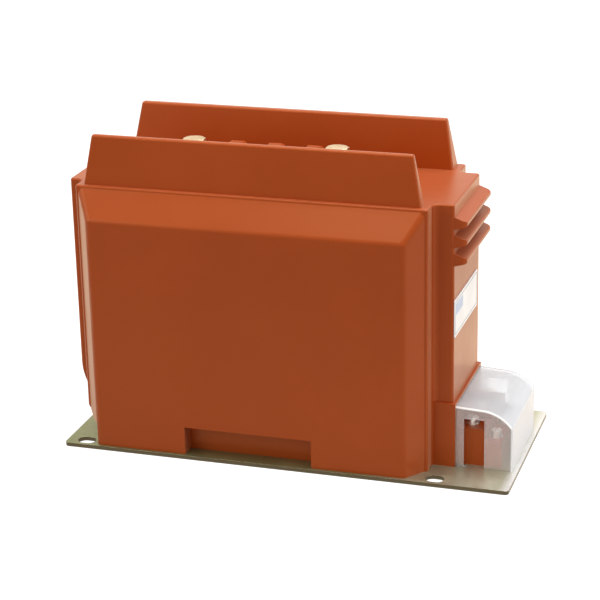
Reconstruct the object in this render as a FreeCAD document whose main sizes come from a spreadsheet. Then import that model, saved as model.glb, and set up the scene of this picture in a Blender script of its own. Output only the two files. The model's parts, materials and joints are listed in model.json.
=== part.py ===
import FreeCAD, Part
import os
import re
import Sketcher

# Narrow cast resin current transformer for a medium voltage switchboard.
# A resin block stands on a steel plate. Two long barrier walls stand on its deck with the
# primary terminals between them, and the secondary terminals sit under a cover at the +X end.
# Millimetres. X runs along the plate, Y across it, Z up from its underside at its centre.

doc = FreeCAD.newDocument("resin_current_transformer")
Vector = FreeCAD.Vector

SIZES = {
    # Base plate and its fixing slots
    "plate_end_gap": 47.8, "plate_width": 149, "plate_thickness": 3, "plate_corner": 3,
    "slot_length": 14, "slot_width": 11, "slot_row_spacing": 270, "slot_side_spacing": 133,
    "slot_end_gap": 15,
    # Resin block: a bulging panel front and back, and a narrower column at each end
    "body_end_gap": 2.4, "rim_length": 264, "rim_depth": 113.6, "back_rim_step": 6,
    "panel_side": 13.7, "panel_depth": 144, "panel_height": 176.4, "deck_height": 198,
    "column_width": 82.4, "column_step": 15.2, "far_column_step": 10.6,
    "ledge_height": 49, "ledge_step": 2, "edge_round": 2, "panel_round": 6,
    "deck_round": 1.5, "corner_round": 5, "rim_land": 2.2,
    # Barrier walls on the deck
    "wall_height": 36.5, "wall_end_inset": 5.5, "wall_end_slope": 6.5,
    "wall_base_thick": 10, "wall_top_thick": 5, "wall_inset": 3, "wall_lean": 3.8,
    "wall_round": 2, "back_wall_extra": 6, "back_wall_slope": 5,
    # Terminal platform on the deck, with ribs between the primary terminals
    "platform_length": 180, "platform_width": 44, "platform_height": 12, "rib_count": 3,
    "rib_pitch": 30, "rib_thick": 13, "rib_width": 56, "rib_height": 17.5, "rib_round": 3,
    # Sheds on the end face above the secondary terminals
    "shed_count": 3, "shed_pitch": 13.5, "shed_reach": 8, "shed_drop": 9.1, "shed_root": 9,
    "shed_edge": 4, "shed_slope": 3, "shed_tip_radius": 2.4, "shed_corner": 4, "shed_inset": 0.5,
    # Recesses at the foot of the block
    "notch_length": 97.6, "notch_height": 21.4, "notch_depth": 12, "undercut_inset": 7.5,
    "undercut_height": 17, "undercut_top": 58, "undercut_arc_radius": 58,
    "relief_radius": 11.5,
    # Block of two steps that carries the secondary terminals
    "block_width": 72, "step_reach_high": 22.8, "step_height_high": 28.5,
    "step_reach_low": 34.8, "step_height_low": 20, "terminal_pitch": 26,
    "barrier_thick": 4, "barrier_rise": 8, "barrier_round": 1.5, "step_round": 0.8,
    # Secondary terminal fittings, M5
    "insert_radius": 4.5, "insert_depth": 12, "screw_radius": 2.5, "screw_reach": 9,
    "screw_head_radius": 4.25, "screw_head_height": 3.3, "screw_head_bevel": 0.6,
    "screw_slot_width": 1.3, "screw_slot_depth": 1.6, "thread_gap": 0.05,
    "washer_radius": 5, "washer_thick": 1, "washer_bore": 2.65, "spring_radius": 4.4,
    "spring_thick": 1.2, "spring_split": 1,
    # Primary terminals, M10
    "primary_shift": -4.3, "primary_spacing": 110, "primary_length": 32,
    "primary_width": 38, "primary_height": 24, "primary_proud": 2, "bolt_radius": 5,
    "bolt_flats": 16, "bolt_head_height": 6.4, "bolt_reach": 18, "bolt_hole_depth": 20,
    "bolt_washer_radius": 10, "bolt_washer_thick": 2, "bolt_washer_bore": 5.5,
    "bolt_spring_radius": 9, "bolt_spring_thick": 2.2, "bolt_spring_split": 2,
    # Primary conductor, cores and secondary windings
    "conductor_width": 30, "conductor_thick": 10, "conductor_leg": 62, "core_level": 95,
    "core_inner_radius": 32, "core_outer_radius": 51, "core_width": 33,
    "winding_thick": 4.5, "winding_gap": 4, "lead_radius": 1.2, "lead_start": 40,
    "lead_run": 8, "lead_level_low": 4.5, "lead_level_high": 10,
    # Fixings between plate and block, M6
    "fixing_row_spacing": 200, "fixing_side_spacing": 78, "fixing_radius": 3,
    "fixing_head_radius": 5.7, "fixing_reach": 15, "fixing_insert_radius": 6,
    "fixing_insert_depth": 18, "fixing_socket_flats": 3.5, "fixing_socket_depth": 1.6,
    "hole_gap": 0.3,
    # Earthing stud, M8
    "earth_row_step": 7.8, "earth_side_gap": 16.5, "earth_radius": 4, "earth_reach": 20,
    "earth_flange_radius": 6.5, "earth_flange_thick": 1.2, "earth_washer_radius": 8,
    "earth_washer_thick": 1.6, "earth_spring_radius": 6.8, "earth_spring_thick": 2,
    "earth_nut_flats": 13, "earth_nut_height": 6.5,
    # Moulded cover over the secondary terminals
    "cover_width": 83.4, "cover_wall": 2, "cover_out": 43.8, "cover_height": 46.8,
    "cover_fall": 1.3, "cover_shoulder": 23.8, "cover_end_height": 33.5,
    "cover_arc_radius": 30, "cover_inner_drop": 0.7, "cover_round": 1.8,
    "window_out": 7.8, "window_length": 15.5, "window_height": 38, "foot_length": 6,
    "foot_depth": 2.5, "foot_inset": 2,
    # Nameplate on the end face
    "nameplate_length": 73, "nameplate_height": 28.5, "nameplate_level": 98.7,
    "nameplate_shift": -3.8, "nameplate_thick": 0.6, "nameplate_corner": 1.5,
}

sheet = doc.addObject("Spreadsheet::Sheet", "Sizes")
for row, (name, number) in enumerate(SIZES.items(), 1):
    sheet.set(f"A{row}", name)
    sheet.set(f"B{row}", str(number))
    sheet.setAlias(f"B{row}", name)
doc.recompute()

nodes = {}

# The block's ends and its place on the plate, as formulas of the sizes
COLUMN_END = "(rim_length / 2 + column_step)"
FAR_END = "(rim_length / 2 + far_column_step)"
PLATE_LENGTH = f"(body_end_gap + {FAR_END} + {COLUMN_END} + plate_end_gap)"
BODY_SHIFT = f"(body_end_gap + {FAR_END} - {PLATE_LENGTH} / 2)"
SLOT_SHIFT = f"(slot_end_gap + (slot_row_spacing - {PLATE_LENGTH}) / 2)"


def bound(text):
    """Turns each size's name in a formula into a reference to its cell."""
    return re.sub(r"\b([a-z]+(?:_[a-z]+)+)\b", r"Sizes.\1", text)


def size(text):
    """The present number of a size or of a formula of sizes."""
    return float(sheet.evalExpression(bound(text)))


def node(piece, label):
    """Names a finished piece, which is exported under that name."""
    piece.Label = label
    nodes[label] = piece
    return piece


def in_block_frame(piece):
    """Places a piece in the resin block's frame: its foot's centre, on top of the plate."""
    piece.setExpression("Placement.Base.x", bound(BODY_SHIFT))
    piece.setExpression("Placement.Base.z", bound("plate_thickness"))
    return piece


# Sketch and feature helpers

def origin_plane(body, role):
    """One of the body's own origin planes."""
    return [feature for feature in body.Origin.OriginFeatures if feature.Role == role][0]


def sketch_on(body, name, role, offset="0"):
    """A sketch on one of the body's origin planes, moved along the plane's normal."""
    sketch = body.newObject("Sketcher::SketchObject", name)
    sketch.AttachmentSupport = [(origin_plane(body, role), "")]
    sketch.MapMode = "FlatFace"
    sketch.setExpression("AttachmentOffset.Base.z", bound(offset))
    return sketch


def dimension(sketch, kind, geometry, point, formula):
    """A driving dimension of the sketch, bound to a formula of sizes."""
    if kind == "Radius":
        number = sketch.addConstraint(Sketcher.Constraint(kind, geometry, size(formula)))
    else:
        number = sketch.addConstraint(
            Sketcher.Constraint(kind, -1, 1, geometry, point, size(formula)))
    sketch.setExpression(f"Constraints[{number}]", bound(formula))


def outline(sketch, corners, arcs=None):
    """A closed outline through corners (x, y). arcs gives the radius of a side that bulges."""
    arcs = arcs or {}
    first = sketch.GeometryCount
    count = len(corners)
    points = [Vector(size(x), size(y), 0) for x, y in corners]
    for index in range(count):
        start, end = points[index], points[(index + 1) % count]
        if index in arcs:
            radius = size(arcs[index])
            chord = end - start
            rise = radius - (radius ** 2 - chord.Length ** 2 / 4) ** 0.5
            bulge = Vector(-chord.y, chord.x, 0).normalize() * rise
            sketch.addGeometry(Part.Arc(start, (start + end) * 0.5 + bulge, end), False)
        else:
            sketch.addGeometry(Part.LineSegment(start, end), False)
    ends = []
    for index in range(count):
        line = first + index
        turned_round = (sketch.getPoint(line, 1) - points[index]).Length > 1e-6
        ends.append((2, 1) if turned_round else (1, 2))
    for index in range(count):
        following = (index + 1) % count
        sketch.addConstraint(Sketcher.Constraint(
            "Coincident", first + index, ends[index][1], first + following, ends[following][0]))
    for index, (x, y) in enumerate(corners):
        dimension(sketch, "DistanceX", first + index, ends[index][0], x)
        dimension(sketch, "DistanceY", first + index, ends[index][0], y)
    for index, radius in arcs.items():
        dimension(sketch, "Radius", first + index, None, radius)
    return sketch


def rectangle(sketch, left, right, low, high):
    """A rectangle between two x and two y formulas."""
    return outline(sketch, [(left, low), (right, low), (right, high), (left, high)])


def hexagon(sketch, flats):
    """A hexagon about the origin, given its width across flats."""
    half, corner = f"{flats} / 2", f"{flats} / sqrt(3)"
    return outline(sketch, [
        (half, f"-{corner} / 2"), (half, f"{corner} / 2"), ("0", corner),
        (f"-{half}", f"{corner} / 2"), (f"-{half}", f"-{corner} / 2"), ("0", f"-{corner}")])


def circle(sketch, x, y, radius):
    """A circle at a place given by formulas."""
    place = Vector(size(x), size(y), 0)
    geometry = sketch.addGeometry(Part.Circle(place, Vector(0, 0, 1), size(radius)), False)
    dimension(sketch, "DistanceX", geometry, 3, x)
    dimension(sketch, "DistanceY", geometry, 3, y)
    dimension(sketch, "Radius", geometry, None, radius)
    return sketch


def obround(sketch, x, y, length, width):
    """A slot along x with round ends, centred on (x, y)."""
    half_run = f"({length} - {width}) / 2"
    left, right, radius = f"{x} - {half_run}", f"{x} + {half_run}", f"{width} / 2"
    first = sketch.GeometryCount
    low, mid, high = size(y) - size(radius), size(y), size(y) + size(radius)
    x0, x1 = size(left), size(right)
    sketch.addGeometry(Part.Arc(Vector(x0, high, 0), Vector(x0 - size(radius), mid, 0),
                                Vector(x0, low, 0)), False)
    sketch.addGeometry(Part.LineSegment(Vector(x0, low, 0), Vector(x1, low, 0)), False)
    sketch.addGeometry(Part.Arc(Vector(x1, low, 0), Vector(x1 + size(radius), mid, 0),
                                Vector(x1, high, 0)), False)
    sketch.addGeometry(Part.LineSegment(Vector(x1, high, 0), Vector(x0, high, 0)), False)
    for index in range(4):
        sketch.addConstraint(Sketcher.Constraint(
            "Tangent", first + index, 2, first + (index + 1) % 4, 1))
    for geometry, centre in ((first, left), (first + 2, right)):
        dimension(sketch, "DistanceX", geometry, 3, centre)
        dimension(sketch, "DistanceY", geometry, 3, y)
        dimension(sketch, "Radius", geometry, None, radius)
    return sketch


def new_body(name):
    """An empty body."""
    return doc.addObject("PartDesign::Body", name)


def pad(body, sketch, length, middle=False, down=False):
    """Adds the sketch's outline pushed out to a length."""
    feature = body.newObject("PartDesign::Pad", sketch.Name + "_pad")
    feature.Profile = sketch
    feature.Midplane = middle
    feature.Reversed = down
    feature.setExpression("Length", bound(length))
    return feature


def pocket(body, sketch, depth=None, upward=False, middle=False):
    """Cuts the sketch's outline to a depth, or right through both ways with no depth."""
    feature = body.newObject("PartDesign::Pocket", sketch.Name + "_pocket")
    feature.Profile = sketch
    if depth is None:
        feature.Type = "ThroughAll"
        feature.Midplane = True
    else:
        feature.setExpression("Length", bound(depth))
        feature.Reversed = upward
        feature.Midplane = middle
    return feature


def turned(body, name, corners, axis="V_Axis", cut=False):
    """Adds or cuts a full turn of an outline drawn on the XZ plane."""
    kind = "PartDesign::Groove" if cut else "PartDesign::Revolution"
    profile = outline(sketch_on(body, name, "XZ_Plane"), corners)
    feature = body.newObject(kind, name + "_turn")
    feature.Profile = profile
    feature.ReferenceAxis = (profile, [axis])
    feature.Angle = 360
    return feature


def loft(body, name, sections):
    """Adds a straight-sided loft through sketches."""
    feature = body.newObject("PartDesign::AdditiveLoft", name)
    feature.Profile = sections[0]
    feature.Sections = sections[1:]
    feature.Ruled = True
    return feature


def mirrored(body, feature, role):
    """Repeats a feature on the other side of one of the body's origin planes."""
    mirror = body.newObject("PartDesign::Mirrored", feature.Name + "_mirror")
    mirror.Originals = [feature]
    mirror.MirrorPlane = (origin_plane(body, role), [""])
    body.Tip = mirror
    return mirror


def row_of(body, feature, direction, reversed_way, pitch, count):
    """Repeats a feature in a row along one of the body's origin axes."""
    axis = [item for item in body.Origin.OriginFeatures if item.Role == direction][0]
    pattern = body.newObject("PartDesign::LinearPattern", feature.Name + "_row")
    pattern.Originals = [feature]
    pattern.Direction = (axis, [""])
    pattern.Reversed = reversed_way
    pattern.setExpression("Length", bound(f"{pitch} * ({count} - 1)"))
    pattern.setExpression("Occurrences", bound(count))
    body.Tip = pattern
    return pattern


def rounded(body, name, radius, test):
    """Rounds the edges whose box, as (low corner, high corner), passes a test."""
    doc.recompute()
    base = body.Tip
    chosen = []
    for number, edge in enumerate(base.Shape.Edges, 1):
        box = edge.BoundBox
        low = Vector(box.XMin, box.YMin, box.ZMin)
        high = Vector(box.XMax, box.YMax, box.ZMax)
        if test(low, high):
            chosen.append(f"Edge{number}")
    feature = body.newObject("PartDesign::Fillet", name)
    feature.Base = (base, chosen)
    feature.setExpression("Radius", bound(radius))
    doc.recompute()
    return feature


def near(one, other):
    """True where two lengths agree within the tolerance used to pick edges."""
    return abs(one - other) < 0.01


def upright(low, high):
    """True for an edge that climbs more than it could in one rounding."""
    return high.z - low.z > 8


def level_at(low, high, formula):
    """True for an edge that lies level at a height."""
    return near(low.z, size(formula)) and near(high.z, size(formula))


def copies(label, master, places):
    """A node of like pieces: one placed copy of the master at each (x, y, z) of formulas."""
    links = []
    for number, place in enumerate(places, 1):
        link = doc.addObject("App::Link", f"{label}_{number}")
        link.LinkedObject = master
        for axis, formula in zip("xyz", place):
            link.setExpression(f"Placement.Base.{axis}", bound(formula))
        links.append(link)
    group = doc.addObject("Part::Compound", label)
    group.Links = links
    return node(group, label)


# Base plate: flat steel with four slots, countersunk fixing holes, the earthing stud's hole and
# the holes that the cover's feet plug into

plate = new_body("base_plate")
blank = rectangle(sketch_on(plate, "plate_outline", "XY_Plane"),
                  f"-{PLATE_LENGTH} / 2", f"{PLATE_LENGTH} / 2", "-plate_width / 2", "plate_width / 2")
pad(plate, blank, "plate_thickness")
rounded(plate, "plate_corners", "plate_corner", lambda low, high: high.z - low.z > 0.01)

slots = sketch_on(plate, "plate_slots", "XY_Plane")
for end in ("-", "+"):
    for side in ("-", ""):
        obround(slots, f"{SLOT_SHIFT} {end} slot_row_spacing / 2",
                f"{side}slot_side_spacing / 2", "slot_length", "slot_width")
pocket(plate, slots)

FIXINGS = [(f"{BODY_SHIFT} {end} fixing_row_spacing / 2", f"{side}fixing_side_spacing / 2")
           for end in ("-", "+") for side in ("-", "")]
fixing_holes = sketch_on(plate, "fixing_holes", "XY_Plane")
for x, y in FIXINGS:
    circle(fixing_holes, x, y, "fixing_radius + hole_gap")
pocket(plate, fixing_holes)
for number, (x, y) in enumerate(FIXINGS, 1):
    wide = circle(sketch_on(plate, f"countersink_foot_{number}", "XY_Plane"),
                  x, y, "fixing_head_radius + hole_gap")
    tight = circle(sketch_on(plate, f"countersink_top_{number}", "XY_Plane",
                             "fixing_head_radius - fixing_radius"),
                   x, y, "fixing_radius + hole_gap")
    cone = plate.newObject("PartDesign::SubtractiveLoft", f"countersink_{number}")
    cone.Profile = wide
    cone.Sections = [tight]

EARTH_X = f"({BODY_SHIFT} + {COLUMN_END} + earth_row_step)"
EARTH_Y = "(plate_width / 2 - earth_side_gap)"
stud_hole = circle(sketch_on(plate, "stud_hole", "XY_Plane"),
                   EARTH_X, EARTH_Y, "earth_radius")
pocket(plate, stud_hole)
stud_seat = circle(sketch_on(plate, "stud_seat", "XY_Plane"),
                   EARTH_X, EARTH_Y, "earth_flange_radius")
pocket(plate, stud_seat, "earth_flange_thick", upward=True)

FOOT_START = f"({COLUMN_END} + ledge_step + foot_inset)"
foot_holes = sketch_on(plate, "foot_holes", "XY_Plane")
for side in (-1, 1):
    inner = f"{side} * (cover_width / 2 - cover_wall - hole_gap)"
    outer = f"{side} * (cover_width / 2 + hole_gap)"
    rectangle(foot_holes, f"{BODY_SHIFT} + {FOOT_START} - hole_gap",
              f"{BODY_SHIFT} + {FOOT_START} + foot_length + hole_gap",
              *((outer, inner) if side < 0 else (inner, outer)))
pocket(plate, foot_holes)
node(plate, "base_plate")

# Resin block, one casting

casting = in_block_frame(new_body("resin_casting"))
RIM_X, RIM_Y = "rim_length / 2", "rim_depth / 2"
BACK_Y = f"({RIM_Y} + back_rim_step)"
COLUMN_Y = "column_width / 2"
plan = outline(sketch_on(casting, "block_plan", "XY_Plane"), [
    (f"-{RIM_X}", f"-{RIM_Y}"), (RIM_X, f"-{RIM_Y}"), (RIM_X, f"-{COLUMN_Y}"),
    (COLUMN_END, f"-{COLUMN_Y}"), (COLUMN_END, COLUMN_Y), (RIM_X, COLUMN_Y),
    (RIM_X, BACK_Y), (f"-{RIM_X}", BACK_Y), (f"-{RIM_X}", COLUMN_Y),
    (f"-{FAR_END}", COLUMN_Y), (f"-{FAR_END}", f"-{COLUMN_Y}"),
    (f"-{RIM_X}", f"-{COLUMN_Y}")])
pad(casting, plan, "deck_height")
rounded(casting, "column_roots", "corner_round", lambda low, high: (
    upright(low, high) and near(abs(low.x), size(RIM_X)) and near(abs(low.y), size(COLUMN_Y))))

panel_root = rectangle(sketch_on(casting, "panel_root", "XZ_Plane", RIM_Y),
                       f"-{RIM_X} + rim_land", f"{RIM_X} - rim_land",
                       "0", "deck_height - rim_land")
panel_face = rectangle(sketch_on(casting, "panel_face", "XZ_Plane", "panel_depth / 2"),
                       f"-{RIM_X} + panel_side", f"{RIM_X} - panel_side", "0", "panel_height")
panel = loft(casting, "front_panel", [panel_root, panel_face])
mirrored(casting, panel, "XZ_Plane")
rounded(casting, "panel_edges", "panel_round", lambda low, high: (
    high.z > 1 and (near(abs(low.y), size("panel_depth / 2")) and near(low.y, high.y)
                    or upright(low, high) and high.y - low.y > 1)))
rounded(casting, "upright_edges", "edge_round", lambda low, high: (
    upright(low, high) and near(low.y, high.y)
    and (near(abs(low.x), size(RIM_X))
         and (near(low.y, -size(RIM_Y)) or near(low.y, size(BACK_Y)))
         or near(abs(low.y), size(COLUMN_Y))
         and (near(low.x, size(COLUMN_END)) or near(low.x, -size(FAR_END))))))
rounded(casting, "deck_edges", "deck_round",
        lambda low, high: near(low.z, size("deck_height")))

WALL_FOOT = f"({RIM_Y} - wall_inset - wall_base_thick)"
WALL_TOP = f"({RIM_Y} - wall_inset - wall_lean - wall_top_thick)"
WALL_END = "(wall_end_inset + wall_end_slope)"
for name, way, extra, slope in (("front_wall", "-", "", ""),
                                ("back_wall", "+", " + back_wall_extra", " + back_wall_slope")):
    bounds = []
    for inner, thick, tilt in ((WALL_FOOT, "wall_base_thick", ""),
                               (WALL_TOP, "wall_top_thick", slope)):
        faces = [f"0 {way} ({inner}{tilt})", f"0 {way} ({inner} + {thick}{extra})"]
        bounds.append(sorted(faces, key=size))
    foot = rectangle(sketch_on(casting, f"{name}_foot", "XY_Plane", "deck_height"),
                     f"wall_end_inset - {RIM_X}", f"{RIM_X} - wall_end_inset", *bounds[0])
    top = rectangle(sketch_on(casting, f"{name}_top", "XY_Plane", "deck_height + wall_height"),
                    f"{WALL_END} - {RIM_X}", f"{RIM_X} - {WALL_END}", *bounds[1])
    loft(casting, name, [foot, top])
rounded(casting, "wall_edges", "wall_round",
        lambda low, high: high.z > size("deck_height + wall_height") - 0.01)

platform = rectangle(sketch_on(casting, "platform", "XY_Plane", "deck_height"),
                     "primary_shift - platform_length / 2", "primary_shift + platform_length / 2",
                     "-platform_width / 2", "platform_width / 2")
pad(casting, platform, "platform_height")
rounded(casting, "platform_edges", "edge_round",
        lambda low, high: level_at(low, high, "deck_height + platform_height"))
FIRST_RIB = "primary_shift - rib_pitch * (rib_count - 1) / 2"
rib = rectangle(sketch_on(casting, "rib", "XY_Plane", "deck_height"),
                f"{FIRST_RIB} - rib_thick / 2", f"{FIRST_RIB} + rib_thick / 2",
                "-rib_width / 2", "rib_width / 2")
row_of(casting, pad(casting, rib, "rib_height"), "X_Axis", False, "rib_pitch", "rib_count")
rounded(casting, "rib_edges", "rib_round",
        lambda low, high: level_at(low, high, "deck_height + rib_height"))

SHED_TOP = "deck_height - shed_drop"
SHED_TIP = f"{COLUMN_END} + shed_reach"
SHED_WIDTH = "column_width - 2 * shed_inset"
SHED_END = f"({SHED_TIP} + shed_tip_radius - sqrt(shed_tip_radius ^ 2 - (shed_edge / 2) ^ 2))"
shed = outline(sketch_on(casting, "shed", "XZ_Plane"), [
    (RIM_X, SHED_TOP), (COLUMN_END, SHED_TOP), (SHED_TIP, f"{SHED_TOP} - shed_slope"),
    (SHED_TIP, f"{SHED_TOP} - shed_slope - shed_edge"),
    (COLUMN_END, f"{SHED_TOP} - shed_root"), (RIM_X, f"{SHED_TOP} - shed_root")],
    arcs={2: "shed_tip_radius"})
row_of(casting, pad(casting, shed, SHED_WIDTH, middle=True),
       "Z_Axis", True, "shed_pitch", "shed_count")
SHED_REACH = f"({SHED_TIP} + shed_tip_radius)"
for side, name in (("-", "front_shed_corner"), ("", "back_shed_corner")):
    half = f"{side}({SHED_WIDTH}) / 2"
    inner = f"{side}(({SHED_WIDTH}) / 2 - shed_corner)"
    outer = f"{side}(({SHED_WIDTH}) / 2 + shed_corner)"
    corners = [(f"{SHED_END} - shed_corner", half), (SHED_END, inner), (SHED_REACH, inner),
               (SHED_REACH, outer), (f"{SHED_END} - shed_corner", outer)]
    arc = 0
    if side:
        corners = corners[:1] + corners[:0:-1]
        arc = 4
    waste = outline(sketch_on(casting, name, "XY_Plane", "deck_height"), corners,
                    arcs={arc: "shed_corner"})
    pocket(casting, waste, "shed_drop + shed_pitch * shed_count")

band = rectangle(sketch_on(casting, "column_band", "XY_Plane"),
                 RIM_X, f"{COLUMN_END} + ledge_step",
                 f"-{COLUMN_Y} - ledge_step", f"{COLUMN_Y} + ledge_step")
pad(casting, band, "ledge_height")

for level in ("high", "low"):
    step = rectangle(sketch_on(casting, f"step_{level}", "XY_Plane"),
                     RIM_X, f"{COLUMN_END} + step_reach_{level}",
                     "-block_width / 2", "block_width / 2")
    pad(casting, step, f"step_height_{level}")
for side in (-1, 1):
    middle = f"{side} * terminal_pitch / 2"
    barrier = rectangle(sketch_on(casting, f"barrier_{'front' if side < 0 else 'back'}",
                                  "XY_Plane"),
                        RIM_X, f"{COLUMN_END} + step_reach_high",
                        f"{middle} - barrier_thick / 2", f"{middle} + barrier_thick / 2")
    pad(casting, barrier, "step_height_high + barrier_rise")
rounded(casting, "barrier_edges", "barrier_round", lambda low, high: (
    high.x > size(f"{COLUMN_END} + ledge_step") + 1
    and level_at(low, high, "step_height_high + barrier_rise")))
rounded(casting, "step_edges", "step_round", lambda low, high: (
    level_at(low, high, "step_height_low")
    and near(high.x, size(f"{COLUMN_END} + step_reach_low"))))

notch = rectangle(sketch_on(casting, "foot_notch", "XZ_Plane", "panel_depth / 2"),
                  "-notch_length / 2", "notch_length / 2", "0", "notch_height")
mirrored(casting, pocket(casting, notch, "notch_depth"), "XZ_Plane")

UNDERCUT_X = f"-({RIM_X} - undercut_inset)"
OUTSIDE = f"-{FAR_END} - edge_round"
undercut = outline(sketch_on(casting, "far_undercut", "XZ_Plane"), [
    (OUTSIDE, "0"), (UNDERCUT_X, "0"), (UNDERCUT_X, "undercut_height"),
    (f"-{FAR_END}", "undercut_top"), (OUTSIDE, "undercut_top")],
    arcs={2: "undercut_arc_radius"})
pocket(casting, undercut)
relief = sketch_on(casting, "bolt_relief", "XY_Plane")
for side in ("-", ""):
    circle(relief, f"{SLOT_SHIFT} - slot_row_spacing / 2 - {BODY_SHIFT}",
           f"{side}slot_side_spacing / 2", "relief_radius")
pocket(casting, relief, "undercut_height", upward=True)
doc.recompute()

# Insulated parts cast into the block: cores, windings, primary conductor and inserts

for label, way in (("measuring", "-"), ("protection", "+")):
    near_face = "winding_gap / 2"
    far_face = "(winding_gap / 2 + core_width + 2 * winding_thick)"
    ends = [f"{way} {near_face}", f"{way} {far_face}"]
    core_ends = [f"{way} ({near_face} + winding_thick)", f"{way} ({far_face} - winding_thick)"]
    inner, outer = "core_inner_radius", "core_outer_radius"
    ring = [(core_ends[0], inner), (core_ends[1], inner), (core_ends[1], outer),
            (core_ends[0], outer)]
    coil = [(ends[0], f"{inner} - winding_thick"), (ends[1], f"{inner} - winding_thick"),
            (ends[1], f"{outer} + winding_thick"), (ends[0], f"{outer} + winding_thick")]
    core = new_body(f"{label}_core")
    turned(core, f"{label}_ring", ring, "H_Axis")
    winding = new_body(f"{label}_winding")
    turned(winding, f"{label}_coil", coil, "H_Axis")
    turned(winding, f"{label}_core_room", ring, "H_Axis", cut=True)
    for piece in (core, winding):
        piece.setExpression("Placement.Base.x", bound(BODY_SHIFT))
        piece.setExpression("Placement.Base.z", bound("plate_thickness + core_level"))
        node(piece, piece.Label)

PRIMARY_TOP = "deck_height + platform_height + primary_proud"
conductor = in_block_frame(new_body("primary_conductor"))
LEG_IN = "(conductor_leg - conductor_thick / 2)"
LEG_OUT = "(conductor_leg + conductor_thick / 2)"
LEFT = "primary_shift - "
RIGHT = "primary_shift + "
BAR_LOW = "core_level - conductor_thick / 2"
BAR_HIGH = "core_level + conductor_thick / 2"
LEG_TOP = f"{PRIMARY_TOP} - primary_height"
bar = outline(sketch_on(conductor, "conductor_shape", "XZ_Plane"), [
    (LEFT + LEG_OUT, BAR_LOW), (RIGHT + LEG_OUT, BAR_LOW), (RIGHT + LEG_OUT, LEG_TOP),
    (RIGHT + LEG_IN, LEG_TOP), (RIGHT + LEG_IN, BAR_HIGH), (LEFT + LEG_IN, BAR_HIGH),
    (LEFT + LEG_IN, LEG_TOP), (LEFT + LEG_OUT, LEG_TOP)])
pad(conductor, bar, "conductor_width", middle=True)
node(conductor, "primary_conductor")

for label, way in (("primary_terminal_p1", LEFT), ("primary_terminal_p2", RIGHT)):
    terminal = in_block_frame(new_body(label))
    centre = f"{way}primary_spacing / 2"
    face = rectangle(sketch_on(terminal, f"{label}_face", "XY_Plane", PRIMARY_TOP),
                     f"{centre} - primary_length / 2", f"{centre} + primary_length / 2",
                     "-primary_width / 2", "primary_width / 2")
    pad(terminal, face, "primary_height", down=True)
    rounded(terminal, f"{label}_corners", "edge_round",
            lambda low, high: high.z - low.z > 0.01)
    bore = circle(sketch_on(terminal, f"{label}_bore", "XY_Plane", PRIMARY_TOP),
                  centre, "0", "bolt_radius + thread_gap")
    pocket(terminal, bore, "bolt_hole_depth")
    node(terminal, label)

SECONDARY = [(f"{COLUMN_END} + step_reach_high / 2", f"{side} * terminal_pitch",
              "step_height_high") for side in (-1, 0, 1)]
LOW_X = f"{COLUMN_END} + (step_reach_high + step_reach_low) / 2"
SECONDARY += [(LOW_X, f"{side} * terminal_pitch", "step_height_low") for side in (-1, 0, 1)]

insert = new_body("secondary_insert_model")
turned(insert, "secondary_insert_profile", [
    ("screw_radius + thread_gap", "-insert_depth"), ("insert_radius", "-insert_depth"),
    ("insert_radius", "0"), ("screw_radius + thread_gap", "0")])
in_block_frame(copies("secondary_inserts", insert, SECONDARY))

fixing_insert = new_body("fixing_insert_model")
turned(fixing_insert, "fixing_insert_profile", [
    ("fixing_radius + thread_gap", "0"), ("fixing_insert_radius", "0"),
    ("fixing_insert_radius", "fixing_insert_depth"),
    ("fixing_radius + thread_gap", "fixing_insert_depth")])
copies("fixing_inserts", fixing_insert, [(x, y, "plate_thickness") for x, y in FIXINGS])

# Leads from each winding's outer face down under the cores and along to the inserts


def lead(name, start, turn, level, end, top):
    """One lead: out of the winding's face, down, along, and up into an insert's foot."""
    model = new_body(name)
    path = model.newObject("Sketcher::SketchObject", name + "_path")
    path.AttachmentSupport = [(origin_plane(model, "XZ_Plane"), "")]
    path.MapMode = "FlatFace"
    begin = "core_level - lead_start"
    stops = [(start, begin), (turn, begin), (turn, level), (end, level), (end, top)]
    points = [Vector(size(x), size(z), 0) for x, z in stops]
    for index in range(len(points) - 1):
        path.addGeometry(Part.LineSegment(points[index], points[index + 1]), False)
    for index in range(len(points) - 2):
        path.addConstraint(Sketcher.Constraint("Coincident", index, 2, index + 1, 1))
    for index, (x, z) in enumerate(stops):
        line, point = (index, 1) if index < len(points) - 1 else (index - 1, 2)
        dimension(path, "DistanceX", line, point, x)
        dimension(path, "DistanceY", line, point, z)
    section = circle(sketch_on(model, name + "_section", "YZ_Plane", start),
                     "0", begin, "lead_radius")
    pipe = model.newObject("PartDesign::AdditivePipe", name + "_pipe")
    pipe.Profile = section
    pipe.Spine = path
    pipe.Transition = "Right corner"
    return model


WINDING_END = "(winding_gap / 2 + core_width + 2 * winding_thick)"
high_lead = lead("protection_lead_model", WINDING_END, f"{WINDING_END} + lead_run",
                 "lead_level_high", SECONDARY[0][0], "step_height_high - insert_depth")
low_lead = lead("measuring_lead_model", f"-{WINDING_END}", f"-{WINDING_END} - lead_run",
                "lead_level_low", LOW_X, "step_height_low - insert_depth")
for label, model in (("protection_leads", high_lead), ("measuring_leads", low_lead)):
    in_block_frame(copies(label, model, [("0", f"{side} * terminal_pitch", "0")
                                         for side in (-1, 0, 1)]))
doc.recompute()

# The block has room for everything cast into it, and their screw holes stay open

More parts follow.
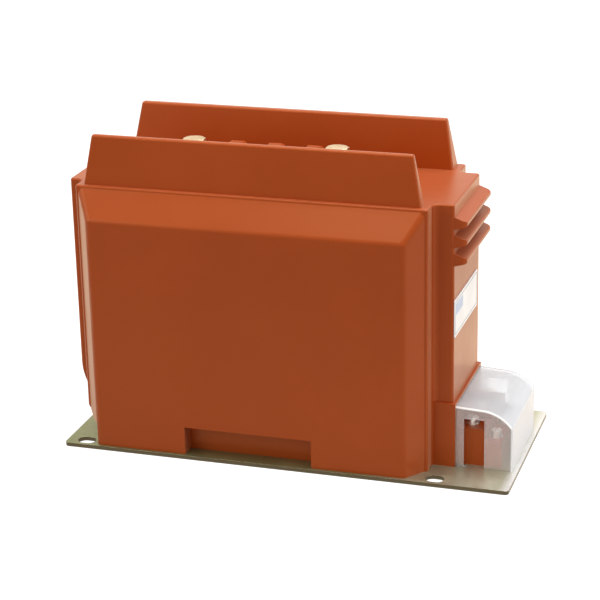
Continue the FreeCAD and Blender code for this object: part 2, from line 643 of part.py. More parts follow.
PRIMARY = [(f"{way}primary_spacing / 2", "0", PRIMARY_TOP) for way in (LEFT, RIGHT)]
openings = [("primary_bores", PRIMARY, "bolt_radius + thread_gap", "bolt_hole_depth", False),
            ("secondary_bores_high", SECONDARY[:3], "screw_radius + thread_gap",
             "insert_depth", False),
            ("secondary_bores_low", SECONDARY[3:], "screw_radius + thread_gap",
             "insert_depth", False),
            ("fixing_bores", [(f"{x} - {BODY_SHIFT}", y, "0") for x, y in FIXINGS],
             "fixing_radius + thread_gap", "fixing_insert_depth", True)]
for name, places, radius, depth, upward in openings:
    holes = sketch_on(casting, name, "XY_Plane", places[0][2])
    for x, y, level in places:
        circle(holes, x, y, radius)
    pocket(casting, holes, depth, upward=upward)

embedded = doc.addObject("Part::MultiFuse", "cast_in_parts")
embedded.Shapes = [nodes[label] for label in (
    "measuring_core", "measuring_winding", "protection_core", "protection_winding",
    "primary_conductor", "primary_terminal_p1", "primary_terminal_p2", "secondary_inserts",
    "fixing_inserts", "protection_leads", "measuring_leads")]
resin = doc.addObject("Part::Cut", "resin_body")
resin.Base = casting
resin.Tool = embedded
node(resin, "resin_body")

# Washers and screws of the secondary terminals, stacked on each insert


def washer(name, bore, radius, thick, split=None):
    """A flat ring, or with a split the ring of a spring washer."""
    model = new_body(name)
    turned(model, name + "_profile",
           [(bore, "0"), (radius, "0"), (radius, thick), (bore, thick)])
    if split:
        gap = rectangle(sketch_on(model, name + "_split", "XY_Plane"),
                        "0", f"{radius} * 2", f"-{split} / 2", f"{split} / 2")
        pocket(model, gap)
    return model


def raised(places, *heights):
    """The same places, lifted by the heights of what is stacked below."""
    return [(x, y, " + ".join((z,) + heights)) for x, y, z in places]


small_washer = washer("small_washer_model", "washer_bore", "washer_radius", "washer_thick")
small_spring = washer("small_spring_model", "washer_bore", "spring_radius", "spring_thick",
                      "spring_split")
screw = new_body("secondary_screw_model")
turned(screw, "secondary_screw_profile", [
    ("0", "-screw_reach - washer_thick - spring_thick"),
    ("screw_radius", "-screw_reach - washer_thick - spring_thick"), ("screw_radius", "0"),
    ("screw_head_radius", "0"), ("screw_head_radius", "screw_head_height - screw_head_bevel"),
    ("screw_head_radius - screw_head_bevel", "screw_head_height"),
    ("0", "screw_head_height")])
driver = rectangle(sketch_on(screw, "driver_slot", "XY_Plane", "screw_head_height"),
                   "-screw_slot_width / 2", "screw_slot_width / 2",
                   "-screw_head_radius * 2", "screw_head_radius * 2")
pocket(screw, driver, "screw_slot_depth")
in_block_frame(copies("secondary_flat_washers", small_washer, SECONDARY))
in_block_frame(copies("secondary_spring_washers", small_spring,
                      raised(SECONDARY, "washer_thick")))
in_block_frame(copies("secondary_screws", screw,
                      raised(SECONDARY, "washer_thick", "spring_thick")))

# Hexagon bolts and washers of the primary terminals


def hexagon_head(body, name, flats, height, bore=None):
    """A hexagon standing on the body's origin with its top corners turned off."""
    pad(body, hexagon(sketch_on(body, name + "_flats", "XY_Plane"), flats), height)
    corner = f"{flats} / sqrt(3)"
    turned(body, name + "_chamfer", [
        (f"{flats} * 0.475", height), (f"{corner} + 1", height),
        (f"{corner} + 1", f"{height} - ({corner} + 1 - {flats} * 0.475) * 0.5")], cut=True)
    if bore:
        hole = circle(sketch_on(body, name + "_bore", "XY_Plane"), "0", "0", bore)
        pocket(body, hole)


bolt = new_body("primary_bolt_model")
hexagon_head(bolt, "bolt_head", "bolt_flats", "bolt_head_height")
shank = circle(sketch_on(bolt, "bolt_shank", "XY_Plane"), "0", "0", "bolt_radius")
pad(bolt, shank, "bolt_reach + bolt_washer_thick + bolt_spring_thick", down=True)
bolt_washer = washer("bolt_washer_model", "bolt_washer_bore", "bolt_washer_radius",
                     "bolt_washer_thick")
bolt_spring = washer("bolt_spring_model", "bolt_washer_bore", "bolt_spring_radius",
                     "bolt_spring_thick", "bolt_spring_split")
in_block_frame(copies("primary_flat_washers", bolt_washer, PRIMARY))
in_block_frame(copies("primary_spring_washers", bolt_spring,
                      raised(PRIMARY, "bolt_washer_thick")))
in_block_frame(copies("primary_bolts", bolt,
                      raised(PRIMARY, "bolt_washer_thick", "bolt_spring_thick")))

# Countersunk screws that hold the plate under the block

fixing_screw = new_body("fixing_screw_model")
turned(fixing_screw, "fixing_screw_profile", [
    ("0", "0"), ("fixing_head_radius", "0"),
    ("fixing_radius", "fixing_head_radius - fixing_radius"),
    ("fixing_radius", "plate_thickness + fixing_reach"),
    ("0", "plate_thickness + fixing_reach")])
socket = hexagon(sketch_on(fixing_screw, "fixing_socket", "XY_Plane"),
                 "fixing_socket_flats")
pocket(fixing_screw, socket, "fixing_socket_depth", upward=True)
copies("fixing_screws", fixing_screw, [(x, y, "0") for x, y in FIXINGS])

# Earthing stud pressed into the plate, with its washers and nut


def at_earth(piece, *heights):
    """Places a piece on the earthing stud's line, above what is stacked below it."""
    piece.setExpression("Placement.Base.x", bound(EARTH_X))
    piece.setExpression("Placement.Base.y", bound(EARTH_Y))
    if heights:
        piece.setExpression("Placement.Base.z", bound(" + ".join(heights)))
    return node(piece, piece.Label)


stud = new_body("earth_stud")
turned(stud, "stud_profile", [
    ("0", "0"), ("earth_flange_radius", "0"), ("earth_flange_radius", "earth_flange_thick"),
    ("earth_radius", "earth_flange_thick"), ("earth_radius", "plate_thickness + earth_reach"),
    ("0", "plate_thickness + earth_reach")])
at_earth(stud)
EARTH_BORE = "earth_radius + hole_gap"
at_earth(washer("earth_washer", EARTH_BORE, "earth_washer_radius", "earth_washer_thick"),
         "plate_thickness")
at_earth(washer("earth_spring_washer", EARTH_BORE, "earth_spring_radius",
                "earth_spring_thick", "spring_split"),
         "plate_thickness", "earth_washer_thick")
nut = new_body("earth_nut")
hexagon_head(nut, "nut", "earth_nut_flats", "earth_nut_height", "earth_radius + thread_gap")
at_earth(nut, "plate_thickness", "earth_washer_thick", "earth_spring_thick")

# Terminal cover: one moulding, open towards the block and below, with a cable window in each
# side wall and feet that plug into the plate

cover = in_block_frame(new_body("terminal_cover"))
COVER_START = f"{COLUMN_END} + ledge_step"
COVER_SHOULDER = f"{COLUMN_END} + cover_shoulder"
COVER_END = f"{COLUMN_END} + cover_out"
profile = outline(sketch_on(cover, "cover_profile", "XZ_Plane"), [
    (COVER_START, "0"), (COVER_START, "cover_height"),
    (COVER_SHOULDER, "cover_height - cover_fall"), (COVER_END, "cover_end_height"),
    (COVER_END, "0")],
    arcs={2: "cover_arc_radius"})
pad(cover, profile, "cover_width", middle=True)
room = outline(sketch_on(cover, "cover_room", "XZ_Plane"), [
    (COVER_START, "0"), (COVER_START, "cover_height - cover_wall"),
    (COVER_SHOULDER, "cover_height - cover_fall - cover_wall"),
    (f"{COVER_END} - cover_wall", "cover_end_height - cover_inner_drop"),
    (f"{COVER_END} - cover_wall", "0")],
    arcs={2: "cover_arc_radius - cover_wall"})
pocket(cover, room, "cover_width - 2 * cover_wall", middle=True)
rounded(cover, "cover_edges", "cover_round", lambda low, high: (
    high.x > size(COVER_START) + 1 and high.z > 1
    and (near(abs(low.y), size("cover_width / 2")) and near(low.y, high.y)
         or high.y - low.y > size("cover_width - cover_wall"))))
window = rectangle(sketch_on(cover, "cable_window", "XZ_Plane"),
                   f"{COLUMN_END} + window_out", f"{COLUMN_END} + window_out + window_length",
                   "0", "window_height")
pocket(cover, window)
for side, name in ((-1, "front_foot"), (1, "back_foot")):
    edges = [f"{side} * (cover_width / 2 - cover_wall)", f"{side} * cover_width / 2"]
    foot = rectangle(sketch_on(cover, name, "XY_Plane"), FOOT_START,
                     f"{FOOT_START} + foot_length", *(edges if side > 0 else edges[::-1]))
    pad(cover, foot, "foot_depth", down=True)
node(cover, "terminal_cover")

# Nameplate glued on the end face

nameplate = in_block_frame(new_body("nameplate"))
badge = rectangle(sketch_on(nameplate, "nameplate_outline", "YZ_Plane", COLUMN_END),
                  "nameplate_shift - nameplate_length / 2",
                  "nameplate_shift + nameplate_length / 2",
                  "nameplate_level", "nameplate_level + nameplate_height")
pad(nameplate, badge, "nameplate_thick")
rounded(nameplate, "nameplate_corners", "nameplate_corner",
        lambda low, high: high.x - low.x > 0.01)
node(nameplate, "nameplate")

# Write each node's solids

doc.recompute()
for item in doc.Objects:
    if any(state in item.State for state in ("Invalid", "Error")):
        raise RuntimeError(f"{item.Label} is not built: {item.State}")
os.makedirs("parts", exist_ok=True)
for label, piece in nodes.items():
    shape = piece.Shape
    if shape.isNull() or not shape.isValid():
        raise RuntimeError(f"{label} has no valid shape")
    shape.exportStep(f"parts/{label}.step")
    print(label, len(shape.Solids), round(shape.Volume), shape.BoundBox)
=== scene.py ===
import json
import math

import bpy
from mathutils import Matrix, Vector

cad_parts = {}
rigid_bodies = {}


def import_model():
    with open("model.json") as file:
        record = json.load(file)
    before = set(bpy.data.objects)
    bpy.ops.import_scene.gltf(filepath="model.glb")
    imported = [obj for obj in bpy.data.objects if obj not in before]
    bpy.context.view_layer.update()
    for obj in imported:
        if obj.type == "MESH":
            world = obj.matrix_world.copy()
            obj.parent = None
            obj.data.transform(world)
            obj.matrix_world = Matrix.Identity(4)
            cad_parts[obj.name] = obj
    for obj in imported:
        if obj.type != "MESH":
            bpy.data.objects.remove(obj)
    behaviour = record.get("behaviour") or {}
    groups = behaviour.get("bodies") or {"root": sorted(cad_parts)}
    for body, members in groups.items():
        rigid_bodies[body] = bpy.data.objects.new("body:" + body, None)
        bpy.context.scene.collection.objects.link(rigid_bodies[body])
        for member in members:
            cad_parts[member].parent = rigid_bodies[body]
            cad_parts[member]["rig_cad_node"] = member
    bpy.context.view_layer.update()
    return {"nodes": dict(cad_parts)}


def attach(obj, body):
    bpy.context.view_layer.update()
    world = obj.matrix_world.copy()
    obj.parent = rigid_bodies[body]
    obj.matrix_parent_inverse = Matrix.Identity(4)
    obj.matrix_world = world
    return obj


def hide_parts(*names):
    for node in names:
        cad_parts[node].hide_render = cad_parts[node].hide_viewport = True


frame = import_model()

# Resin block: one casting of red-brown epoxy, poured round the cores, windings and inserts.
# It comes out of its mould with soft edges and a skin that is even but not quite flat, and it
# reflects like a hard, slightly worn eggshell.

MERGE_GAP = 0.000002
SMOOTH_UNDER = math.radians(35)
FLAT_FACE_WEIGHT = 100


def joined_copy(node, name, shaping=None):
    """A copy of a CAD node with its triangles joined, so that its rounds shade smoothly.

    shaping is called with the copy in edit mode, as soon as it is joined.
    """
    bpy.ops.object.select_all(action="DESELECT")
    original = frame["nodes"][node]
    original.select_set(True)
    bpy.context.view_layer.objects.active = original
    bpy.ops.object.duplicate()
    piece = bpy.context.active_object
    piece.name = piece.data.name = name
    del piece["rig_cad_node"]
    bpy.ops.object.parent_clear(type="CLEAR_KEEP_TRANSFORM")
    bpy.ops.object.mode_set(mode="EDIT")
    bpy.ops.mesh.select_all(action="SELECT")
    bpy.ops.mesh.remove_doubles(threshold=MERGE_GAP)
    if shaping:
        shaping(piece)
    bpy.ops.object.mode_set(mode="OBJECT")
    bpy.ops.mesh.customdata_custom_splitnormals_clear()
    bpy.ops.object.shade_smooth_by_angle(angle=SMOOTH_UNDER)
    bpy.ops.object.modifier_add(type="WEIGHTED_NORMAL")
    piece.modifiers[-1].keep_sharp = True
    piece.modifiers[-1].weight = FLAT_FACE_WEIGHT
    bpy.ops.object.modifier_apply(modifier=piece.modifiers[-1].name)
    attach(piece, "root")
    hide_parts(node)
    return piece


def feed(tree, socket, source):
    """Sets an input to a number or a colour, or links it to another node's output."""
    if isinstance(source, bpy.types.NodeSocket):
        tree.links.new(source, socket)
    elif socket.type == "RGBA":
        socket.default_value = (*source, 1)
    else:
        socket.default_value = source


def wired(tree, kind, inputs=None, **settings):
    """A new shader node with its settings made and its inputs fed."""
    node = tree.nodes.new("ShaderNode" + kind)
    for setting, value in settings.items():
        setattr(node, setting, value)
    for socket, source in (inputs or {}).items():
        feed(tree, node.inputs[socket], source)
    return node


def colour_between(tree, pattern, one, other):
    """One colour turning into another where the pattern goes from 0 to 1."""
    mix = wired(tree, "Mix", data_type="RGBA")
    factor, colour_sockets, result = mix.inputs["Factor"], mix.inputs[6:8], mix.outputs[2]
    for socket, source in zip((factor, *colour_sockets), (pattern, one, other)):
        feed(tree, socket, source)
    return result


class Finish:
    """A material whose shader's sockets take numbers, and patterns on object coordinates."""

    def __init__(self, name, **sockets):
        self.material = bpy.data.materials.new(name)
        self.material.use_nodes = True
        self.tree = self.material.node_tree
        self.shader = self.tree.nodes["Principled BSDF"]
        self.coordinates = wired(self.tree, "TexCoord")
        self.bumps = {}
        for socket, value in sockets.items():
            self.drive(socket.replace("_", " "), value)

    def drive(self, socket, source):
        """Gives one of the shader's sockets a number, a colour or a pattern."""
        feed(self.tree, self.shader.inputs[socket], source)

    def along(self, axis):
        """The place along an axis, in metres."""
        apart = wired(self.tree, "SeparateXYZ", {0: self.coordinates.outputs["Object"]})
        return apart.outputs[axis]

    def facing(self, axis):
        """How far the surface faces along an axis, 1 where it faces it either way."""
        apart = wired(self.tree, "SeparateXYZ", {0: self.coordinates.outputs["Normal"]})
        size = wired(self.tree, "Math", {0: apart.outputs[axis]}, operation="ABSOLUTE")
        return size.outputs[0]

    def noise(self, scale, detail=3.0, roughness=0.5, stretch=(1, 1, 1)):
        """Cloudy noise, with scale in patches to the metre and stretch along the axes."""
        mapping = wired(self.tree, "Mapping", {
            "Vector": self.coordinates.outputs["Object"], "Scale": stretch})
        noise = wired(self.tree, "TexNoise", {
            "Vector": mapping.outputs["Vector"], "Scale": scale, "Detail": detail,
            "Roughness": roughness})
        return noise.outputs["Fac"]

    def tones(self, pattern, *stops):
        """Colours along a pattern, each stop a position with a colour or a number for grey."""
        ramp = wired(self.tree, "ValToRGB", {"Fac": pattern})
        for index, (position, colour) in enumerate(stops):
            if index > 1:
                ramp.color_ramp.elements.new(position)
            grey = not isinstance(colour, tuple)
            element = ramp.color_ramp.elements[index]
            element.position = position
            element.color = (colour, colour, colour, 1) if grey else (*colour, 1)
        return ramp.outputs["Color"]

    def between(self, pattern, one, other):
        return colour_between(self.tree, pattern, one, other)

    def spread(self, pattern, low, high, start=0.3, end=0.7):
        """Numbers from low to high where the pattern goes from start to end."""
        ranged = wired(self.tree, "MapRange", {
            "Value": pattern, "From Min": start, "From Max": end, "To Min": low, "To Max": high})
        return ranged.outputs["Result"]

    def patches(self, scale, one, other, detail=4.0, stops=(0.35, 0.65)):
        """Mottles the colour with soft patches of two tones."""
        pattern = self.noise(scale, detail)
        self.drive("Base Color", self.tones(pattern, (stops[0], one), (stops[1], other)))

    def wear(self, scale, low, high, **noise):
        """Lets the roughness wander between two values, in patches."""
        self.drive("Roughness", self.spread(self.noise(scale, **noise), low, high))

    def relief(self, pattern, depth, strength):
        """Bumps with a depth in metres; each call adds to the one before."""
        bump = wired(self.tree, "Bump", {
            "Height": pattern, "Distance": depth, "Strength": strength, **self.bumps})
        self.bumps = {"Normal": bump.outputs["Normal"]}
        self.drive("Normal", bump.outputs["Normal"])

    def on(self, *pieces):
        """Puts the finish on pieces, in place of what they had."""
        for piece in pieces:
            piece.data.materials.clear()
            piece.data.materials.append(self.material)


resin = Finish("cast_resin", IOR=1.46, Specular_Tint=(1.0, 0.78, 0.45), Sheen_Weight=0.6,
               Sheen_Roughness=0.3, Sheen_Tint=(1.0, 0.78, 0.48))
clouds = resin.tones(resin.noise(9, detail=4, roughness=0.6),
                     (0.32, (0.325, 0.043, 0.004)), (0.68, (0.360, 0.050, 0.005)))
flow = resin.spread(resin.noise(26, stretch=(1, 1, 0.35)), 0.0, 0.4)
resin.drive("Base Color", resin.between(flow, clouds, (0.335, 0.042, 0.003)))
resin.wear(24, 0.30, 0.36, detail=2)
resin.relief(resin.noise(22, detail=2), depth=0.0009, strength=0.25)
resin.relief(resin.noise(420, detail=2), depth=0.00008, strength=0.3)
resin.on(joined_copy("resin_body", "resin_block"))

# Base plate: 3 mm steel, pressed out with its slots and held to the block by four countersunk
# screws from below. Its zinc has a yellow and green film, worn off at the rim of the terminal
# end. The film is painted darker along the block, a painted reflection and shade of the block,
# and lighter towards the terminals; its sides are painted dark as shade, with a painted cream
# highlight on the round of its top edges.

PLATE_TOP = 0.003
PLATE_ROUND = 0.0005
PLATE_ROUND_STEPS = 3
SHARP_OVER = math.radians(60)
HEIGHT_SLACK = 0.00001


def round_top_edges(piece):
    """Puts a small round on the sharp edges of the plate's upper face, its holes' too."""
    bpy.ops.mesh.select_mode(type="EDGE")
    bpy.ops.mesh.select_all(action="DESELECT")
    bpy.ops.mesh.edges_select_sharp(sharpness=SHARP_OVER)
    bpy.ops.object.mode_set(mode="OBJECT")
    for edge in piece.data.edges:
        heights = [piece.data.vertices[end].co.z for end in edge.vertices]
        if any(abs(height - PLATE_TOP) > HEIGHT_SLACK for height in heights):
            edge.select = False
    bpy.ops.object.mode_set(mode="EDIT")
    bpy.ops.mesh.bevel(offset=PLATE_ROUND, segments=PLATE_ROUND_STEPS, loop_slide=False,
                       clamp_overlap=True)


plated = Finish("yellow_zinc_plate", Metallic=0.8, Coat_Weight=0.4, Coat_Roughness=0.12)
streaks = plated.noise(14, detail=5, roughness=0.65)
# The film's tone is painted dark along the block and light towards the terminal end: a painted
# reflection and shade of the block.
film_in_painted_block_reflection = plated.tones(streaks, (0.30, (0.180, 0.205, 0.080)), (0.70, (0.260, 0.265, 0.130)))
film_out_of_painted_reflection = plated.tones(streaks, (0.30, (0.480, 0.500, 0.360)), (0.70, (0.660, 0.640, 0.550)))
no_film = (0.740, 0.735, 0.745)
lengthwise = plated.along("X")
painted_reflection_fade = plated.spread(lengthwise, 0, 1, start=0.05, end=0.18)
worn_off = plated.spread(lengthwise, 0, 1, start=0.162, end=0.169)
upper_face = plated.between(worn_off, plated.between(painted_reflection_fade, film_in_painted_block_reflection, film_out_of_painted_reflection), no_film)
upward = plated.facing("Z")
# The plate's sides are painted dark as shade, and the round of its top edges gets a painted cream
# highlight.
painted_side_shade_and_edge_highlight = plated.tones(upward, (0.15, (0.085, 0.070, 0.038)), (0.45, (0.950, 0.870, 0.640)))
level = plated.spread(upward, 0, 1, start=0.9, end=0.985)
plated.drive("Base Color", plated.between(level, painted_side_shade_and_edge_highlight, upper_face))
plated.wear(220, 0.36, 0.52, detail=4)
plated.relief(plated.noise(900, detail=2, stretch=(0.1, 1, 1)), depth=0.00003, strength=0.4)
plated.on(joined_copy("base_plate", "slotted_base_plate", shaping=round_top_edges))

# Terminal cover: a thin milky moulding, frosted outside, with smooth cable windows and two feet
# that plug into the plate. The terminal block shows through its sides as a soft shadow, its top
# is less clear, and its rounds and its end are nearly solid. Its colour is painted by which way
# it faces: darker and grey-blue on the top as painted shade, lighter and a little pink on the
# flat sides as painted light.

milky = Finish("milky_plastic", Roughness=0.24, IOR=1.46)
sideways = milky.facing("Y")
endways = milky.spread(milky.facing("X"), 0, 1, start=0.5, end=0.95)
# Colour by facing: darker grey-blue on the top is painted shade, lighter on the flat sides is
# painted light.
shell_tones_with_painted_light = milky.tones(sideways, (0.08, (0.66, 0.685, 0.715)), (0.30, (0.86, 0.84, 0.81)),
                          (0.85, (0.86, 0.84, 0.81)), (0.98, (1.0, 0.90, 0.86)))
shell_milk = milky.tones(sideways, (0.08, 0.50), (0.30, 0.92), (0.85, 0.90), (0.98, 0.26))
milky.drive("Base Color", milky.between(endways, shell_tones_with_painted_light, (0.78, 0.78, 0.82)))
milky.drive("Alpha", milky.between(endways, shell_milk, (0.92, 0.92, 0.92)))
milky.relief(milky.noise(260), depth=0.00005, strength=0.15)
milky.on(joined_copy("terminal_cover", "milky_terminal_cover"))

# Nameplate: a thin satin sheet glued on the end face. It is bare but for a fine raised border and
# a pale blue field in its upper corner, both printed on it and dry to the touch.

SHEET_FACE = 0.1228
BORDER_MIDDLE = Vector((SHEET_FACE, -0.0038, 0.11595))
BORDER_SIZE = (0.069, 0.0245)
BORDER_LINE = 0.0005
FIELD_MIDDLE = Vector((SHEET_FACE, -0.0255, 0.1221))
FIELD_SIZE = (0.022, 0.0085)
FIELD_ROUND = 0.0006
INK_THICK = 0.00008


def flat_print(name, middle, size):
    """A thin sheet of ink on the nameplate, its size across the end face and upwards."""
    bpy.ops.mesh.primitive_cube_add(size=1)
    ink = bpy.context.active_object
    ink.name = ink.data.name = name
    ink.scale = (INK_THICK, *size)
    ink.location = middle + Vector((INK_THICK / 2, 0, 0))
    bpy.ops.object.transform_apply(location=True, rotation=True, scale=True)
    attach(ink, "root")
    return ink


def pick(piece, kind, wanted):
    """Opens a piece in edit mode with only those faces, edges or points selected that pass."""
    bpy.ops.object.mode_set(mode="EDIT")
    bpy.ops.mesh.select_mode(type=kind)
    bpy.ops.mesh.select_all(action="DESELECT")
    bpy.ops.object.mode_set(mode="OBJECT")
    mesh = piece.data
    for part in {"FACE": mesh.polygons, "EDGE": mesh.edges, "VERT": mesh.vertices}[kind]:
        part.select = wanted(part)
    bpy.ops.object.mode_set(mode="EDIT")


satin = Finish("bare_nameplate", Metallic=0.15, Roughness=0.35)
satin.patches(40, (0.78, 0.79, 0.82), (0.84, 0.85, 0.87), detail=2, stops=(0.4, 0.6))
satin.on(joined_copy("nameplate", "bare_nameplate"))

border = flat_print("nameplate_border", BORDER_MIDDLE, BORDER_SIZE)
pick(border, "FACE", lambda face: abs(face.normal.x) > 0.9)
bpy.ops.mesh.inset(thickness=BORDER_LINE, depth=0)
bpy.ops.mesh.bridge_edge_loops()
bpy.ops.object.mode_set(mode="OBJECT")
grey_ink = Finish("grey_ink", Roughness=0.5)
grey_ink.patches(500, (0.30, 0.32, 0.36), (0.36, 0.38, 0.42), detail=3, stops=(0.4, 0.6))
grey_ink.on(border)

field = flat_print("nameplate_field", FIELD_MIDDLE, FIELD_SIZE)
corners = field.data.vertices
pick(field, "EDGE", lambda edge: abs(corners[edge.vertices[0]].co.x
                                     - corners[edge.vertices[1]].co.x) > INK_THICK / 2)
bpy.ops.mesh.bevel(offset=FIELD_ROUND, segments=4, clamp_overlap=True)
bpy.ops.object.mode_set(mode="OBJECT")
blue_ink = Finish("pale_blue_ink", Roughness=0.45)
blue_ink.patches(300, (0.50, 0.58, 0.74), (0.55, 0.63, 0.78), detail=3, stops=(0.4, 0.6))
blue_ink.on(field)

# Screws, nut and washers: zinc plated steel, bright where it is new and a little dull in patches.
# They hold the plate to the block, the wires to the secondary terminals and the earth wire.


def zinc_plating(name, scale, dull, bright):
    """Plated steel, mottled in two tones, with the fine grain of the plating."""
    plating = Finish(name, Metallic=1.0)
    plating.patches(scale, dull, bright)
    plating.wear(500, 0.24, 0.4)
    plating.relief(plating.noise(1800, detail=2), depth=0.00002, strength=0.3)
    return plating


zinc = zinc_plating("bright_zinc", 160, (0.74, 0.75, 0.77), (0.86, 0.86, 0.86))
for node in ("fixing_screws", "secondary_flat_washers", "secondary_spring_washers",
             "secondary_screws", "earth_washer", "earth_spring_washer", "earth_nut"):
    zinc.on(joined_copy(node, "zinc_" + node))

# Primary bolts: M10 with flat and split washers, plated like the screws but with the yellow film
# of the base plate. They clamp the bars to the two primary terminals.

yellow_zinc = zinc_plating("yellow_zinc_bolts", 140, (0.72, 0.58, 0.37), (0.84, 0.72, 0.52))
for node in ("primary_flat_washers", "primary_spring_washers", "primary_bolts"):
    yellow_zinc.on(joined_copy(node, "yellow_" + node))

# Earthing stud: M8, pressed into the plate from below. Above its nut it is turned down to the
# root of the thread, and the rolled ridge winds round it with a pitch of 1.25 mm.

STUD_PLACE = Vector((0.130, 0.058, 0))
THREAD_CREST, THREAD_ROOT, THREAD_PITCH = 0.004, 0.00338, 0.00125
THREAD_START, THREAD_END = 0.0138, 0.0224
NECK_START, NECK_END = THREAD_START - 0.0005, THREAD_START - 0.0001
TURN_STEPS = 24

stud = joined_copy("earth_stud", "zinc_earth_stud")
zinc.on(stud)
bpy.ops.object.mode_set(mode="EDIT")
for height in (NECK_START, NECK_END):
    bpy.ops.mesh.select_all(action="SELECT")
    bpy.ops.mesh.bisect(plane_co=(0, 0, height), plane_no=(0, 0, 1))
pick(stud, "VERT", lambda point: point.co.z > (NECK_START + NECK_END) / 2)
narrowing = THREAD_ROOT / THREAD_CREST
bpy.ops.transform.resize(value=(narrowing, narrowing, 1), center_override=STUD_PLACE)
bpy.ops.object.mode_set(mode="OBJECT")

turns = (THREAD_END - THREAD_START) / THREAD_PITCH
bpy.ops.object.select_all(action="DESELECT")
bpy.ops.mesh.primitive_circle_add(vertices=4, radius=THREAD_CREST - THREAD_ROOT,
                                  location=(THREAD_ROOT, 0, 0), rotation=(math.pi / 2, 0, 0))
ridge = bpy.context.active_object
ridge.name = ridge.data.name = "stud_thread"
bpy.ops.object.transform_apply(location=True, rotation=True, scale=True)
bpy.ops.object.modifier_add(type="SCREW")
winding = ridge.modifiers[-1]
winding.axis = "Z"
winding.angle = math.tau * turns
winding.screw_offset = THREAD_PITCH * turns
winding.steps = winding.render_steps = round(TURN_STEPS * turns)
bpy.ops.object.modifier_apply(modifier=winding.name)
ridge.location = STUD_PLACE + Vector((0, 0, THREAD_START))
bpy.ops.object.transform_apply(location=True, rotation=True, scale=True)
bpy.ops.object.mode_set(mode="EDIT")
bpy.ops.mesh.select_all(action="SELECT")
bpy.ops.mesh.fill_holes(sides=0)
bpy.ops.mesh.select_all(action="SELECT")
bpy.ops.mesh.normals_make_consistent(inside=False)
bpy.ops.object.mode_set(mode="OBJECT")
zinc.on(ridge)
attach(ridge, "root")

# Terminals and inserts: machined brass, cast into the resin with only their faces in sight. The
# cutter's marks run across them.

brass = Finish("machined_brass", Metallic=1.0)
brass.patches(120, (0.62, 0.47, 0.22), (0.74, 0.60, 0.33))
brass.wear(700, 0.26, 0.42, detail=2, stretch=(1, 0.08, 1))
for node in ("primary_terminal_p1", "primary_terminal_p2", "secondary_inserts",
             "fixing_inserts"):
    brass.on(joined_copy(node, "brass_" + node))

# Windings and cores: sealed inside the casting, enamelled copper wire round rings of strip steel,
# with a copper bar through them and leads to the terminals.

copper = Finish("enamelled_copper", Metallic=1.0)
copper.patches(90, (0.50, 0.20, 0.10), (0.66, 0.29, 0.16))
copper.wear(300, 0.28, 0.42)
for node in ("primary_conductor", "measuring_winding", "protection_winding", "measuring_leads",
             "protection_leads"):
    copper.on(frame["nodes"][node])

strip = Finish("core_strip_steel", Metallic=0.9)
strip.patches(200, (0.10, 0.105, 0.11), (0.17, 0.17, 0.175))
strip.wear(600, 0.4, 0.6)
for node in ("measuring_core", "protection_core"):
    strip.on(frame["nodes"][node])

# Table: white paper that the camera sees as plain white. It throws back half of the light that
# falls on it, and in the part's reflections it glows warmly behind the part, but not in front.

TABLE_SIZE = 30
TABLE_DROP = 0.0005

bpy.ops.object.select_all(action="DESELECT")
bpy.ops.mesh.primitive_plane_add(size=TABLE_SIZE, location=(0, 0, -TABLE_DROP))
table = bpy.context.active_object
table.name = "white_table"
paper = bpy.data.materials.new("white_paper")
paper.use_nodes = True
tree = paper.node_tree
tree.nodes.clear()
rays = wired(tree, "LightPath").outputs
spot = wired(tree, "SeparateXYZ", {0: wired(tree, "TexCoord").outputs["Object"]})
towards_back = wired(tree, "MapRange", {
    "Value": spot.outputs["Y"], "From Min": -0.5, "From Max": 0.2, "To Min": 0.0, "To Max": 0.9})
mirrored = wired(tree, "Math", {
    0: rays["Is Glossy Ray"], 1: towards_back.outputs["Result"]}, operation="MULTIPLY")
share = wired(tree, "Math", {
    0: rays["Is Camera Ray"], 1: 0.6, 2: mirrored.outputs[0]}, operation="MULTIPLY_ADD")
warmth = colour_between(tree, rays["Is Glossy Ray"], (1.7, 1.7, 1.7), (1.7, 1.45, 1.12))
matt = wired(tree, "BsdfDiffuse", {"Color": (0.5, 0.5, 0.5)})
glow = wired(tree, "Emission", {"Color": warmth})
surface = wired(tree, "MixShader", {
    "Fac": share.outputs[0], 1: matt.outputs[0], 2: glow.outputs[0]})
wired(tree, "OutputMaterial", {"Surface": surface.outputs[0]})
table.data.materials.append(paper)

# Backdrop: white for the camera and through the clear parts, a little warm in reflections, and
# dimmer as a light, so that the lamps shape the part.

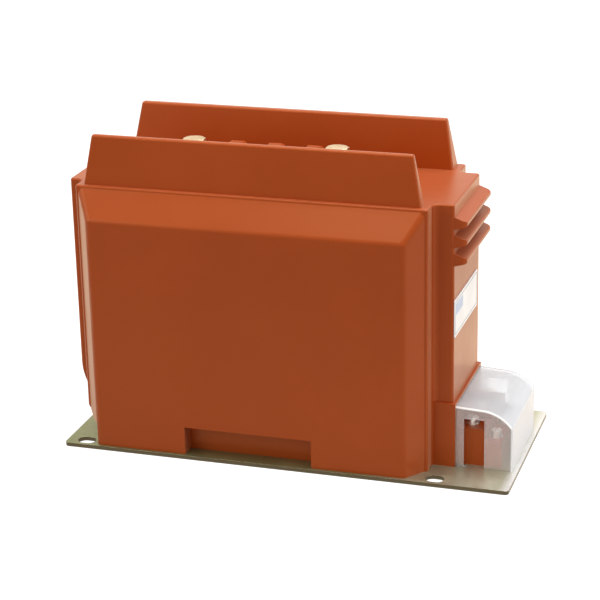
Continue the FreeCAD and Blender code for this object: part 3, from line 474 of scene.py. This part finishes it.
world = bpy.data.worlds.new("studio")
bpy.context.scene.world = world
world.use_nodes = True
tree = world.node_tree
rays = wired(tree, "LightPath").outputs
seen = wired(tree, "Math", {
    0: rays["Is Camera Ray"], 1: rays["Is Glossy Ray"]}, operation="MAXIMUM")
through = wired(tree, "Math", {
    0: seen.outputs[0], 1: rays["Is Transmission Ray"]}, operation="MAXIMUM")
strength = wired(tree, "MapRange", {"Value": through.outputs[0], "To Min": 0.4, "To Max": 1.0})
backdrop = tree.nodes["Background"]
feed(tree, backdrop.inputs["Strength"], strength.outputs["Result"])
feed(tree, backdrop.inputs["Color"],
     colour_between(tree, rays["Is Glossy Ray"], (1, 1, 1), (1.15, 1.07, 0.92)))

# Lamps: a large soft one above, weaker ones on the right and on the left, and a small one behind
# that lights the top of the back wall.

for name, place, size, power, aim in (
        ("lamp_above", (0.1, -0.2, 1.6), 1.4, 23.5, (0, 0, 0.1)),
        ("lamp_right", (1.5, 0.1, 0.7), 1.0, 8.5, (0.1, 0, 0.1)),
        ("lamp_behind", (0.2, 0.5, 1.4), 0.3, 5, (0, 0, 0.2)),
        ("lamp_left", (-1.2, -1.1, 0.9), 0.9, 7, (0, 0, 0.1))):
    bpy.ops.object.light_add(type="AREA", location=place)
    lamp = bpy.context.active_object
    lamp.name = name
    lamp.data.size = size
    lamp.data.energy = power
    lamp.rotation_euler = (Vector(aim) - Vector(place)).to_track_quat("-Z", "Y").to_euler()

# Camera: a long lens at the photograph's place, in front of the part, a little to the right and
# above it. The place and the turn come from the fit to the photograph.

CAMERA_PLACE = Vector((0.41947, -1.33084, 0.60928))
CAMERA_RIGHT = Vector((0.954689, 0.296940, -0.019879))
CAMERA_UP = Vector((-0.082934, 0.329598, 0.940471))
CAMERA_BACK = Vector((0.285816, -0.896209, 0.339290))

bpy.ops.object.camera_add()
camera = bpy.context.active_object
camera.data.sensor_width = 36
camera.data.lens = 119.2
turn = Matrix((CAMERA_RIGHT, CAMERA_UP, CAMERA_BACK)).transposed().to_4x4()
camera.matrix_world = Matrix.Translation(CAMERA_PLACE) @ turn
bpy.context.scene.camera = camera
bpy.context.scene.view_settings.view_transform = "Standard"
